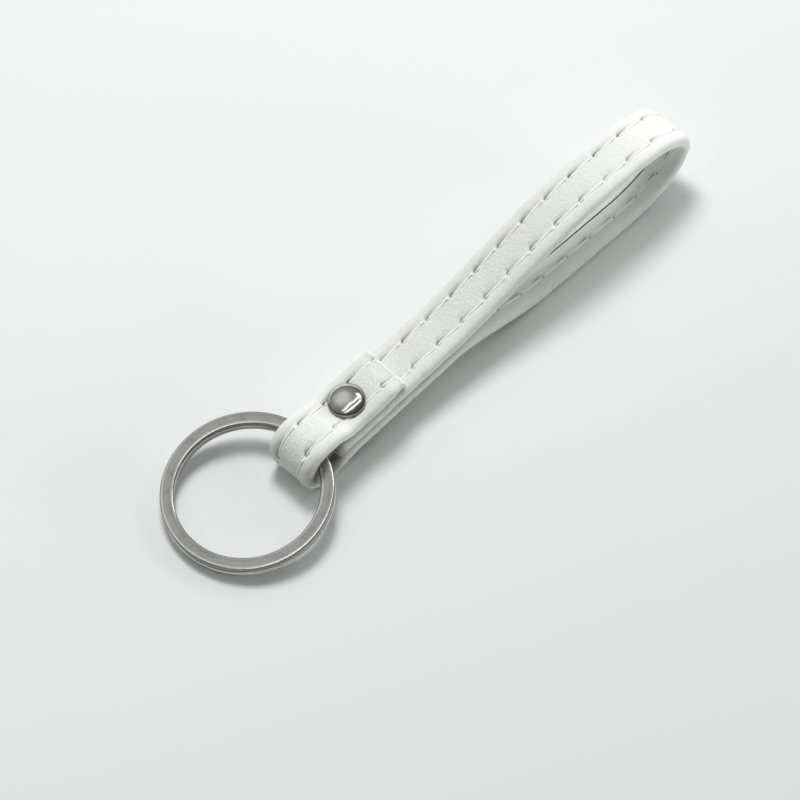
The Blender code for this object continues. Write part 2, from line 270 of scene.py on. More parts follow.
def makeFloorFinish(room):
    # Painted shade: a little greyer on the camera's side, standing for the light falling off there
    finish = Finish("pale_floor", Roughness=room["floorRough"])
    place = finish.place()
    drift = finish.noise(place, *room["floorPatch"]) * room["floorDrift"]
    near = 1 - finish.within(finish.part(place, "Y"), *room["floorTurn"])
    share = near * room["floorNearShare"] + drift
    return finish.feed(Base_Color=finish.blend(share, room["floorColour"], room["floorNearShade"]))


def makeRoom(room):
    shape = bmesh.new()
    bmesh.ops.create_circle(shape, cap_ends=True, radius=room["floorRadius"], segments=room["floorSides"])
    floor = meshPiece("floor", shape)
    floor.location.z = -room["floorDrop"]
    floor.data.materials.append(makeFloorFinish(room))
    floor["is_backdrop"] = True
    bpy.context.scene.world = makeSky(room)
    for lamp in room["lamps"]:
        light = bpy.data.lights.new(lamp["name"], "AREA")
        light.shape = "RECTANGLE"
        light.size, light.size_y = lamp["size"], lamp["breadth"]
        light.energy = lamp["power"]
        item = addObject(lamp["name"], light)
        item.visible_glossy = lamp["name"] not in room["unmirrored"]
        item.visible_diffuse = lamp["name"] not in room["onlyMirrored"]
        item.location = lamp["place"]
        item.rotation_mode = "QUATERNION"
        item.rotation_quaternion = Vector(lamp["place"]).to_track_quat("Z", "Y")
    print("room made with", len(room["lamps"]), "lamps")


def meshPiece(name, shape):
    # An object from a bmesh, faces turned outward
    data = bpy.data.meshes.new(name)
    bmesh.ops.recalc_face_normals(shape, faces=shape.faces)
    shape.to_mesh(data)
    shape.free()
    return addObject(name, data)


def pieceFromArrays(name, points, faces, materials):
    # An object from arrays: points by row, and a list of faces with the number of their material
    data = bpy.data.meshes.new(name)
    data.from_pydata(points.tolist(), [], [face for face, _ in faces])
    data.polygons.foreach_set("material_index", [number for _, number in faces])
    for material in materials:
        data.materials.append(material)
    data.validate()
    data.shade_smooth()
    return addObject(name, data)


def carryAttribute(item, name, values):
    # Values by point, read by the material
    attribute = item.data.attributes.new(name, "FLOAT_VECTOR", "POINT")
    attribute.data.foreach_set("vector", np.asarray(values, np.float32).ravel())


def gridFaces(rows, columns, first=0):
    # Quads between neighbouring closed rings of points
    row = np.arange(rows - 1)[:, None] * columns
    column = np.arange(columns)[None, :]
    following = (column + 1) % columns
    corners = [row + column, row + following, row + columns + following, row + columns + column]
    shape = (rows - 1, columns)
    return np.stack([np.broadcast_to(corner, shape) for corner in corners], -1).reshape(-1, 4) + first


def tubeFaces(rows, columns, first=0):
    # The quads of a tube and a flat face at both its ends, all of the first material
    faces = gridFaces(rows, columns, first).tolist()
    last = first + rows * columns
    faces.append(list(range(first, first + columns)))
    faces.append(list(range(last - 1, last - columns - 1, -1)))
    return [(face, 0) for face in faces]


def hump(distance, width):
    return np.exp(-(distance / width) ** 2)


def eased(value, low, high):
    share = np.clip((value - low) / (high - low), 0, 1)
    return share * share * (3 - 2 * share)


# The strip and its route from the square end round the ring and back, as the CAD lays them
strip = {
    "width": 0.010,
    "thickness": 0.0026,
    "skin": 0.0006,
    "edgeRound": 0.0015,
    "layerGap": 0.0002,
    "length": 0.096,
    "loopHeight": 0.017,
    "farTopBend": 0.012,
    "farLowBend": 0.015,
    "farTipShare": 0.58,
    "crownLength": 0.009,
    "touchFromRing": 0.054,
    "tabLength": 0.0245,
    "closedRun": 0.0105,
    "rivetFromFold": 0.0149,
    "capDiameter": 0.0065,
    "capHeight": 0.0019,
    "capGap": 0.0002,
    "rearCapLift": 0.0001,
    "bendSamples": 400,
}

ringFrame = {
    "diameter": 0.030,
    "wall": 0.0024,
    "height": 0.00282,
    "cornerRound": 0.00035,
    "swingClearance": 0.0003,
    "barSide": 0.002,
}

half = strip["thickness"] / 2
layerPitch = strip["thickness"] + strip["layerGap"]
ringMid = (ringFrame["diameter"] - ringFrame["wall"]) / 2
barSag = ringMid - math.sqrt(ringMid ** 2 - (strip["width"] / 2 + ringFrame["barSide"]) ** 2)
ringRise = ringFrame["height"] / 2 - ringFrame["cornerRound"]
barReach = math.hypot((ringFrame["wall"] + barSag) / 2 - ringFrame["cornerRound"], ringRise)
eyeRadius = barReach + ringFrame["cornerRound"] + ringFrame["swingClearance"]
foldRadius = eyeRadius + half
foldOutside = foldRadius + half
ringOffset = ringMid - barSag / 2
rimReach = ringOffset + ringFrame["diameter"] / 2 - ringFrame["cornerRound"]
rimLift = foldOutside - ringFrame["cornerRound"]
ringTilt = math.asin(rimLift / math.hypot(rimReach, ringRise)) - math.atan2(ringRise, rimReach)
rivetPlace = strip["rivetFromFold"] - foldOutside
tabEnd = strip["tabLength"] - foldOutside
capTop = layerPitch + half + strip["capGap"] + strip["capHeight"]
rearRise = foldOutside - strip["rearCapLift"]
clampTilt = math.atan2(capTop, rivetPlace) - math.asin(rearRise / math.hypot(capTop, rivetPlace))


def clampKnot(along, above, heading):
    turned = Matrix.Rotation(clampTilt, 2) @ Vector((along, above))
    return np.array([eyeCentre.x + turned.x, eyeCentre.z + turned.y]), math.radians(heading) + clampTilt


def tableKnot(along, above, heading):
    return np.array([along, above]), math.radians(heading)


def stripKnots():
    lead = eyeRadius + foldRadius
    farEnd = eyeCentre.x + strip["length"] - foldOutside - half
    runTop = strip["loopHeight"] - half
    crownEnd = farEnd - strip["farTopBend"]
    release = tabEnd + strip["closedRun"]
    return [
        clampKnot(tabEnd, layerPitch, 180),
        clampKnot(lead, layerPitch, 180),
        clampKnot(0, foldRadius, 180),
        clampKnot(-foldRadius, 0, 270),
        clampKnot(0, -foldRadius, 360),
        clampKnot(lead, -layerPitch, 360),
        clampKnot(release, -layerPitch, 360),
        tableKnot(eyeCentre.x + strip["touchFromRing"], half, 360),
        tableKnot(farEnd - strip["farLowBend"], half, 360),
        tableKnot(farEnd, strip["loopHeight"] * strip["farTipShare"], 450),
        tableKnot(crownEnd, runTop, 540),
        tableKnot(crownEnd - strip["crownLength"], runTop, 540),
        clampKnot(release, 0, 540),
        clampKnot(eyeRadius + strip["layerGap"], 0, 540),
    ]


# The tab over the rivet: how far its near edge stands off the run, at the square end and by the fold
tab = {
    "endRise": 0.0003,
    "endRiseFrom": 0.0005,
    "endRiseBeforeRivet": 0.0025,
    "foldRise": 0.0006,
    "foldRisePastRivet": 0.0062,
    "foldRiseReach": 0.0026,
}


def tabRise(along):
    rivetAlong = tabEnd - rivetPlace
    endShare = 1 - eased(along, tab["endRiseFrom"], rivetAlong - tab["endRiseBeforeRivet"])
    fold = hump(along - rivetAlong - tab["foldRisePastRivet"], tab["foldRiseReach"])
    return tab["endRise"] * endShare + tab["foldRise"] * fold


def headingVector(angle):
    return np.array([math.cos(angle), math.sin(angle)])


def handleShare(turn):
    # A round bend's handle, as a share of the step that the bend makes along that handle
    square = math.tan(turn / 4) ** 2
    return (1 + square) ** 2 / (3 * (1 - square))


# The strip's middle line, read by the distance from its square end
class Rail:
    def __init__(self, knots, samples):
        points = [knots[0][0]]
        share = np.linspace(0, 1, samples + 1)[1:, None]
        rest = 1 - share
        for (start, first), (end, second) in zip(knots, knots[1:]):
            setOff = headingVector(first)
            goIn = headingVector(second)
            bend = handleShare(second - first)
            leave = start + bend * np.dot(end - start, setOff) * setOff
            arrive = end - bend * np.dot(end - start, goIn) * goIn
            curve = rest ** 3 * start + 3 * rest ** 2 * share * leave
            points.extend(curve + 3 * rest * share ** 2 * arrive + share ** 3 * end)
        self.points = np.array(points)
        steps = np.diff(self.points, axis=0)
        lengths = np.hypot(steps[:, 0], steps[:, 1])
        self.run = np.concatenate([[0], np.cumsum(lengths)])
        self.length = self.run[-1]
        self.middles = (self.run[1:] + self.run[:-1]) / 2
        self.headings = np.unwrap(np.arctan2(steps[:, 1], steps[:, 0]))

    def at(self, along):
        across = np.interp(along, self.run, self.points[:, 0])
        level = np.interp(along, self.run, self.points[:, 1])
        return across, level, np.interp(along, self.middles, self.headings)

    def bend(self, along, reach):
        # How sharply the strip turns, in radians for each metre
        after = np.interp(along + reach, self.middles, self.headings)
        before = np.interp(along - reach, self.middles, self.headings)
        return (after - before) / (2 * reach)

    def put(self, along, across, rise):
        # Points of the strip, rise being measured from its middle toward the outer face
        place, level, heading = self.at(along)
        rise = rise + tabRise(along) * (0.5 - across / strip["width"])
        along, across, rise = np.broadcast_arrays(along, across, rise)
        side = eyeCentre.y + across
        return np.stack([place + rise * np.sin(heading), side, level - rise * np.cos(heading)], -1)


# Stitching: two rows that share their needle holes with the bobbin side. Each thread draws the skin in
# along its later part and ends in a pit, and a small knot of skin stands up where the next one starts.
stitching = {
    "line": 0.00245,
    "pitch": 0.0060,
    "firstHole": {1: 0.0012, -1: 0.0037},
    "wander": 0.00016,
    "wanderStart": 3,
    "depthStart": 11,
    "driftStep": 7,
    "slant": 0.00012,
    "lean": 0.0002,
    "thread": 0.00044,
    "depthVaries": 0.35,
    "pullVaries": 0.5,
    "pullStart": (0.3, 0.8),
    "pullEnd": (0.9, 0.98),
    "pitDepth": 0.0006,
    "pitWidth": 0.00034,
    "pitBefore": 0.00045,
    "pitLean": 0.6,
    "pitShape": (0.7, 1.1),
    "knotAfter": 0.00050,
    "knotLean": 1.3,
    "knotHeight": 0.00012,
    "knotWidth": 0.00042,
    "tailAside": 0.00036,
    "tailWidth": 0.00022,
    # How dark the painted shade is along the groove's far wall, and at the bobbin side's marks and along
    # their tails
    "tailDark": 0.4,
    "innerShape": (0.45, 1.4),
    "innerMarkDark": 0.6,
    "innerTailDark": 0.5,
}

# Two odd factors that scatter whole numbers
scatter = (12.9898, 43758.5453)


def wander(count, start):
    # Small steady irregularity from whole numbers, the same at every run
    number = np.arange(count) + start
    return (np.sin(number * scatter[0]) * scatter[1]) % 1 * 2 - 1


def rowHoles(row, length):
    count = int((length + stitching["pitch"]) / stitching["pitch"]) + 2
    holes = stitching["firstHole"][row] + stitching["pitch"] * (np.arange(count) - 1)
    return holes + stitching["wander"] * wander(count, stitching["wanderStart"] + row)


def stitchPhase(holes, along):
    # Which stitch a place belongs to, its share along it, and the distances from its two holes
    number = np.clip(np.searchsorted(holes, along) - 1, 0, len(holes) - 2)
    share = (along - holes[number]) / (holes[number + 1] - holes[number])
    return number, share, along - holes[number], holes[number + 1] - along


# Cover: the coated skin, folded round the filler and butted along the inner face
cover = {
    "sections": 1500,
    "stopSamples": 40000,
    "holeWeight": 1.6,
    "holeReach": 0.0006,
    "rowBefore": 0.00045,
    "rowAfter": 0.00036,
    "rowStops": 11,
    "innerStops": (0, 0.00005, 0.0001, 0.00016, 0.00025, 0.0004, 0.0008, 0.0014, 0.0019),
    "marginStops": (0.00305, 0.0032, 0.00335),
    "panelStops": (0.0019, 0.0014, 0.0008, 0.0004, 0),
    "edgeSteps": 15,
    "edgeBulge": 2.35,
    "panelEdge": (-0.00035, 0.0001),
    "panelDrop": 0.00012,
    "panelCrown": 0.00003,
    "marginFall": 0.00026,
    "grooveDepth": 0.00004,
    "grooveWidth": 0.00046,
    "nearWidth": 0.00024,
    "pull": 0.0004,
    "deepest": 0.00046,
    "innerGroove": 0.00008,
    "innerPit": 0.00022,
    "innerPull": 0.00024,
    "creviceReach": 0.00042,
    "creviceFrom": (0.3, 0.8),
    "squareCrevice": 0.0004,
    "loopCrevice": 0.012,
    "foldShadeReach": (0.0005, 0.0022),
    "lipRise": 0.00013,
    "lipWidth": 0.00026,
    "lipVaries": 0.2,
    "lipWaves": ((9000, 0), (21700, 1), (3900, 2)),
    "seamWidth": 0.00013,
    "seamDepth": 0.00034,
    "seamLip": 0.00005,
    "seamLipPlace": 2.2,
    "ripple": 0.00003,
    "ripplePitch": 0.0017,
    "rippleSway": 0.3,
    "rippleReach": 0.0015,
    "rippleFullBend": 400,
    "marginFrom": 0.0030,
    "pinch": 0.00005,
    "pinchReach": 0.0011,
    "pinchRise": 0.6,
    "sway": 0.00004,
    "swayWaves": ((0.0113, 0.9), (0.0187, 1.7), (0.0061, 0.5), (0.0317, 2.9)),
    "swayMost": 2.2,
    "dimple": 0.0002,
    "dimpleEdges": (0.8, 1.35),
    "dimpleRise": 0.00005,
    "dimpleRing": 1.45,
    "dimpleRingWidth": 0.3,
    "taperRun": 0.0036,
    "taperDrop": 0.0011,
    "taperIn": 0.00045,
    "cornerLean": 0.75,
    "pocketDepth": 0.0012,
    "fillerGap": 0.00012,
    "fillerSections": 500,
    "sharpAngle": 70,
}


def sectionHalf():
    # Half of the section from the seam to the middle of the panel: rise, across and face
    side = strip["width"] / 2 - strip["edgeRound"]
    line = stitching["line"]
    rowStops = np.linspace(line - cover["rowBefore"], line + cover["rowAfter"], cover["rowStops"])
    inner = np.concatenate([cover["innerStops"], rowStops, cover["marginStops"]])
    outer = np.concatenate([cover["marginStops"][::-1], rowStops[::-1], cover["panelStops"]])
    angles = np.linspace(-90, 90, cover["edgeSteps"] + 2) * math.pi / 180
    share = 2 / cover["edgeBulge"]
    edgeRise = half * np.sign(np.sin(angles)) * np.abs(np.sin(angles)) ** share
    edgeAcross = side + strip["edgeRound"] * np.abs(np.cos(angles)) ** share
    rise = np.concatenate([np.full(len(inner), -half), edgeRise, np.full(len(outer), half)])
    across = np.concatenate([inner, edgeAcross, outer])
    face = np.concatenate([np.full(len(inner), -1), np.zeros(len(angles)), np.full(len(outer), 1)])
    return rise, across, face


def sectionWhole():
    # Both halves, once round: the middle points of the seam and of the panel are shared
    rise, across, face = sectionHalf()
    return (
        np.concatenate([rise, rise[-2:0:-1]]),
        np.concatenate([across, -across[-2:0:-1]]),
        np.concatenate([face, face[-2:0:-1]]),
    )


def stitchRelief(rail, along, across, face):
    # How far the needle side and the bobbin side are drawn in, and how much painted shade their pits, marks
    # and groove tails get
    drop = np.zeros(along.shape)
    hollow = np.zeros(along.shape)
    pitLong, pitWide = stitching["pitShape"]
    markLong, markWide = stitching["innerShape"]
    for row in (1, -1):
        holes = rowHoles(row, rail.length)
        number, share, after, before = stitchPhase(holes, along)
        side = row * across
        line = row * (stitching["line"] + stitching["slant"] * (1 - 2 * share))
        depths = 1 + stitching["depthVaries"] * wander(len(holes), stitching["depthStart"] + row)[number]
        span = eased(share, *stitching["pullStart"]) * (1 - eased(share, *stitching["pullEnd"]))
        span = span * (1 + stitching["pullVaries"] * (depths - 1))
        aside = across - line - stitching["lean"]
        pulled = hump(aside, np.where(aside > 0, cover["grooveWidth"], cover["nearWidth"]))
        tail = hump(across - line - stitching["tailAside"], stitching["tailWidth"]) * span

        # Needle side: the groove under the thread, the pit at its end, the knot at its start
        pitLine = stitching["line"] - stitching["pitLean"] * stitching["slant"]
        pitAway = np.hypot((before - stitching["pitBefore"]) * pitLong, (side - pitLine) * pitWide)
        pit = hump(pitAway, stitching["pitWidth"]) * stitching["pitDepth"] * depths
        knotLine = stitching["line"] + stitching["knotLean"] * stitching["slant"]
        knotAway = np.hypot(after - stitching["knotAfter"], side - knotLine)
        knot = hump(knotAway, stitching["knotWidth"]) * stitching["knotHeight"]
        outerDrop = pulled * (cover["grooveDepth"] + cover["pull"] * span) + pit - knot
        outerDrop = cover["deepest"] * np.tanh(outerDrop / cover["deepest"])
        # Painted shade: the pit, and the groove's far wall along the thread's tail
        outerDark = np.clip(pit / stitching["pitDepth"] + stitching["tailDark"] * tail, 0, 1)

        # Bobbin side: a shallow groove and a mark at every hole
        innerLine = side - stitching["line"]
        markAway = np.hypot(np.minimum(after, before) * markLong, innerLine * markWide)
        mark = hump(markAway, stitching["pitWidth"])
        innerDrop = hump(innerLine, cover["grooveWidth"]) * cover["innerGroove"] + mark * cover["innerPit"]
        innerDrop = innerDrop + pulled * cover["innerPull"] * span
        # Painted shade on the bobbin side's marks and along the thread's tail
        innerDark = stitching["innerMarkDark"] * mark + stitching["innerTailDark"] * tail

        drop += np.where(face > 0, outerDrop, np.where(face < 0, innerDrop, 0))
        hollow += np.where(face > 0, outerDark, np.where(face < 0, innerDark, 0))
    return drop, hollow


def faceShape(across, face):
    # Panel set down between the rows, margins with a soft crest, lips along the butt seam
    reach = np.abs(across)
    side = strip["width"] / 2 - strip["edgeRound"]
    line = stitching["line"]
    panel = 1 - eased(reach, *(line + edge for edge in cover["panelEdge"]))
    crown = cover["panelCrown"] * (1 - (reach / line) ** 2)
    fall = cover["marginFall"] * np.clip((side - reach) / (side - line), 0, 1) ** 2
    outer = panel * (cover["panelDrop"] - crown) + (1 - panel) * fall
    seam = cover["seamDepth"] * (1 - eased(reach, 0, cover["seamWidth"]))
    lipAway = reach - cover["seamLipPlace"] * cover["seamWidth"]
    lip = cover["seamLip"] * hump(lipAway, cover["seamWidth"])
    return np.where(face > 0, outer, np.where(face < 0, seam - lip, 0)), panel


def clampPlace(points):
    # Places in the clamp's own frame: along it from the ring bar, and above its middle
    ahead = points[..., 0] - eyeCentre.x
    above = points[..., 2] - eyeCentre.z
    cosine, sine = math.cos(clampTilt), math.sin(clampTilt)
    return ahead * cosine + above * sine, above * cosine - ahead * sine


def creviceShare(points):
    # How close a point lies to the two lines where the strip's layers meet, where the finish paints shade
    ahead, above = clampPlace(points)
    lead = eyeRadius + foldRadius
    release = tabEnd + strip["closedRun"]
    share = 0
    for level, end, fade in (
        (layerPitch / 2, tabEnd, cover["squareCrevice"]), (-layerPitch / 2, release, cover["loopCrevice"])
    ):
        share = share + hump(above - level, cover["creviceReach"]) * (1 - eased(ahead, end, end + fade))
    return np.clip(share, 0, 1) * eased(ahead, *(part * lead for part in cover["creviceFrom"]))


def foldShadeShare(points, face):
    # How much painted shade the inside of the fold gets round the ring bar
    ahead, above = clampPlace(points)
    away = np.hypot(ahead, above) - eyeRadius
    return np.where(face > 0, 0, 1 - eased(away, *cover["foldShadeReach"]))


# Painted light: the skin is painted whiter round the fold and on the loop's crown, where more light falls
# on it
litPatch = {
    "foldStart": (-0.002, 0.004),  # measured from the rivet
    "foldEnd": (0.001, 0.008),  # measured from above the ring's bar
    "foldShare": 0.6,
    "crownPlace": 0.132,
    "crownReach": 0.016,
    "crownShare": 0.75,
}


def litPatchShare(along):
    starting = eased(along, *(tabEnd - rivetPlace + place for place in litPatch["foldStart"]))
    ending = eased(along, *(tabEnd + place for place in litPatch["foldEnd"]))
    crown = hump(along - litPatch["crownPlace"], litPatch["crownReach"])
    return litPatch["foldShare"] * starting * (1 - ending) + litPatch["crownShare"] * crown


def tabTaper(along, across):
    # The square end is pinched, more at its near corner: 1 at the cut, nothing farther in
    corner = 1 - cover["cornerLean"] * (1 + 2 * across / strip["width"]) / 2
    return (1 - eased(along, 0, cover["taperRun"])) * corner


def rivetPoint(above):
    # A point of the rivet's axis, in the strip's own plane
    place, _ = clampKnot(rivetPlace, above, 0)
    return place


def rivetDimple(rail, along, across, face):
    # The outer face gives way under each cap and swells a little round it
    x, z = rivetPoint(0)
    away = np.hypot(rail.points[:, 0] - x, rail.points[:, 1] - z)
    capRadius = strip["capDiameter"] / 2
    onTab = rail.run < strip["tabLength"]
    onRear = (rail.run > strip["tabLength"]) & (rail.run < 3 * strip["tabLength"])
    drop = np.zeros(along.shape)
    for part in (onTab, onRear):
        reach = np.hypot(along - rail.run[np.argmin(np.where(part, away, 1))], across)
        drop += cover["dimple"] * (1 - eased(reach, *(share * capRadius for share in cover["dimpleEdges"])))
        ringAway = reach - cover["dimpleRing"] * capRadius
        drop -= cover["dimpleRise"] * hump(ringAway, cover["dimpleRingWidth"] * capRadius)
    return np.where(face > 0, drop, 0)


def sway(along, start):
    # Slow unevenness along the strip, between about -1 and 1
    waves = cover["swayWaves"]
    total = sum(np.sin(2 * math.pi * along / length + turn + start) for length, turn in waves)
    return total / cover["swayMost"]


def coverStops(rail):
    # Sections stand closer where the needle holes are
    fine = np.linspace(0, rail.length, cover["stopSamples"])
    weight = np.ones(len(fine))
    for row in (1, -1):
        for hole in rowHoles(row, rail.length):
            weight += cover["holeWeight"] * hump(fine - hole, cover["holeReach"])
    total = np.concatenate([[0], np.cumsum(weight[:-1])])
    return np.interp(np.linspace(0, total[-1], cover["sections"]), total, fine)


def skinInside(rise, across):
    # The section drawn in by the thickness of the skin
    side = strip["width"] / 2 - strip["edgeRound"]
    riseShare = (half - strip["skin"]) / half
    reachShare = (strip["edgeRound"] - strip["skin"]) / strip["edgeRound"]
    over = np.clip(np.abs(across) - side, 0, None) * reachShare
    return rise * riseShare, np.sign(across) * (np.clip(np.abs(across), 0, side) + over)


def pinchedInside(along):
    # The skin's inside at a place along the strip, and how far the pinched end sets it down there
    rise, across, _ = sectionWhole()
    rise, across = skinInside(rise, across)
    taper = tabTaper(along, across)
    narrow = 1 - 2 * cover["taperIn"] * taper / strip["width"]
    return rise, across * narrow, cover["taperDrop"] * taper * (1 + rise / half) / 2


def innerRipple(rail, along, face):
    # Small cross folds on the inner face where the strip bends
    bend = np.abs(rail.bend(along, cover["rippleReach"])) / cover["rippleFullBend"]
    turn = 2 * math.pi * (along / cover["ripplePitch"] + cover["rippleSway"] * sway(along, 2))
    return np.where(face < 0, cover["ripple"] * np.clip(bend, 0, 1) * np.sin(turn), 0)


def cutLip(along, across, rise, face):
    # The square end's cut edge stands up a little, unevenly: where it is, and how far it rises. The finish
    # paints this lip lighter, a painted highlight
    lip = hump(along - cover["lipWidth"], cover["lipWidth"]) * (face >= 0) * (rise > 0)
    rough = sum(np.sin(across * wave + turn) for wave, turn in cover["lipWaves"])
    return lip, cover["lipRise"] * lip * (1 + cover["lipVaries"] * rough)


def holePinch(rail, along, across):
    # The margins are drawn in beside each needle hole
    nearest = np.full(along.shape, 1.0)
    for row in (1, -1):
        _, _, after, before = stitchPhase(rowHoles(row, rail.length), along)
        nearest = np.where(row * across > 0, np.minimum(after, before), nearest)
    return cover["pinch"] * hump(nearest, cover["pinchReach"])


def pocketFaces(count, columns):
    # From the skin's last points over the cut edge and down each end's pocket, then its floor
    column = np.arange(columns)
    following = (column + 1) % columns
    front, frontDeep, rear, rearDeep = (count + number * columns for number in range(4))
    faces = []
    for first, second, turned in (
        (0, front, True), (front, frontDeep, True), (count - columns, rear, False), (rear, rearDeep, False)
    ):
        rim = np.stack([first + column, first + following, second + following, second + column], -1)
        faces += (rim[:, ::-1] if turned else rim).tolist()
    faces += [(frontDeep + column).tolist(), (rearDeep + column[::-1]).tolist()]
    return [(face, 1) for face in faces]


def makeCover(rail, skinFinish, cutFinish):
    sectionRise, sectionAcross, sectionFace = sectionWhole()
    stops = coverStops(rail)
    columns = len(sectionRise)
    along = np.repeat(stops[:, None], columns, 1)
    rise, across, face = (
        np.broadcast_to(part, along.shape) for part in (sectionRise, sectionAcross, sectionFace)
    )
    stitched, hollow = stitchRelief(rail, along, across, face)
    level, panel = faceShape(across, face)
    lip, lipRise = cutLip(along, across, rise, face)
    drop = stitched + level + rivetDimple(rail, along, across, face)
    drop = drop + innerRipple(rail, along, face) - lipRise

    # The drop goes inward from either face, and the margins are drawn in sideways
    taper = tabTaper(along, across)
    upper = (1 + np.clip(rise / half, -1, 1)) / 2
    pinch = holePinch(rail, along, across)
    margin = eased(np.abs(across), cover["marginFrom"], strip["width"] / 2)
    swayIn = cover["sway"] * (sway(along, np.sign(across)) - 1) / 2
    inward = np.where(rise >= 0, 1, -1) * (drop + pinch * cover["pinchRise"] * margin * (face >= 0))
    shownRise = rise - inward - cover["taperDrop"] * taper * upper
    shownAcross = across + np.sign(across) * margin * (swayIn - pinch - cover["taperIn"] * taper)
    outer = rail.put(along, shownAcross, shownRise)
    outer[..., 2] = np.maximum(outer[..., 2], 0)

    points = [outer.reshape(-1, 3)]
    for place in (0, cover["pocketDepth"], rail.length, rail.length - cover["pocketDepth"]):
        insideRise, insideAcross, insideDrop = pinchedInside(place)
        points.append(rail.put(np.full(columns, place), insideAcross, insideRise - insideDrop))
    points = np.concatenate(points)
    faces = [(quad, 0) for quad in gridFaces(len(stops), columns).tolist()]
    faces += pocketFaces(along.size, columns)
    item = pieceFromArrays("strap_skin", points, faces, [skinFinish, cutFinish])

    # What the finish reads: the place on the strip with its painted light, the stitching's marks with their
    # painted shade, and the painted shade and highlight at the crevices, the fold and the cut lip
    steps = np.hypot(
        np.diff(sectionRise, append=sectionRise[0]), np.diff(sectionAcross, append=sectionAcross[0])
    )
    around = np.broadcast_to(np.concatenate([[0], np.cumsum(steps[:-1])]), along.shape)
    seamReach = np.where(face < 0, np.abs(shownAcross), 1)
    for name, parts in {
        "strip_place": (along, around, litPatchShare(along)),
        "strip_marks": (panel * (face > 0), hollow, seamReach),
        "strip_painted_light": (creviceShare(outer), foldShadeShare(outer, face), lip),
    }.items():
        values = np.stack(parts, -1).reshape(-1, 3)
        spare = np.zeros((len(points) - len(values), 3))
        carryAttribute(item, name, np.concatenate([values, spare]))
    item.data.set_sharp_from_angle(angle=math.radians(cover["sharpAngle"]))
    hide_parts("strap_cover")
    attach(item, "strap")
    print("strap skin:", len(points), "points, strip length", round(rail.length, 4))


def makeFiller(rail, finish):
    # Inside the skin, from pocket to pocket, thinner where the square end is pinched
    share = 1 - cover["fillerGap"] / half
    stops = np.linspace(cover["pocketDepth"], rail.length - cover["pocketDepth"], cover["fillerSections"])
    stops[[0, -1]] += np.array([1, -1]) * cover["fillerGap"]
    rise, across, drop = pinchedInside(stops[:, None])
    points = rail.put(stops[:, None], across * share, rise * share - drop)
    faces = tubeFaces(len(stops), len(rise))
    item = pieceFromArrays("strap_filler", points.reshape(-1, 3), faces, [finish])
    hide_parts("strap_core")
    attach(item, "strap")
    print("filler laid in the skin")


# Skin: warm white with a darker seam, painted lighter where light falls and darker where shade falls, by
# place. A noise is given by the width of one patch and its detail.
skinLook = {
    "specular": 0.45,
    "pebble": 0.00042,
    "fine": (0.0002, 3.0),
    "cloud": (0.006, 3.0),
    "crease": (0.0011, 3.0),
    "creaseStretch": (1.0, 0.35, 1.0),
    "dot": (0.00045, 2.0),
    "dotEdges": (0.56, 0.7),
    "dotShare": 0.55,
    # The skin's own tones, varying at random, then a whiter colour painted where light falls
    "baseTones": (shade(230, 231, 226), shade(220, 221, 216)),
    "litPatch": shade(248, 249, 245),
    "dotted": shade(250, 251, 248),
    # Painted shade inside the fold, round the ring bar
    "rubbed": shade(96, 93, 88),
    "foldShadeShares": (0.45, 0.4),
    # Painted shade where the strip's layers meet
    "dusty": shade(118, 115, 108),
    "creviceShadeShares": (0.35, 0.4),
    # Painted shade in the stitch pits and beside the threads
    "hollow": shade(96, 94, 89),
    "hollowEdges": (0.05, 0.8),
    "hollowShare": 0.9,
    # Painted highlight on the raised lip at the square end
    "cutLip": shade(251, 251, 249),
    "cutLipShare": 0.8,
    "seam": shade(112, 96, 78),
    "seamEdges": (0.00006, 0.00016),
    "rough": 0.42,
    "roughBy": {"fine": 0.14, "panel": -0.05, "seam": 0.3, "rub": 0.15},
    "grainBy": {"margin": 0.3, "panel": 0.7, "fine": 0.5},
    "creaseRelief": (0.00013, 0.5),
    "grainRelief": (0.00014, 0.7),
}


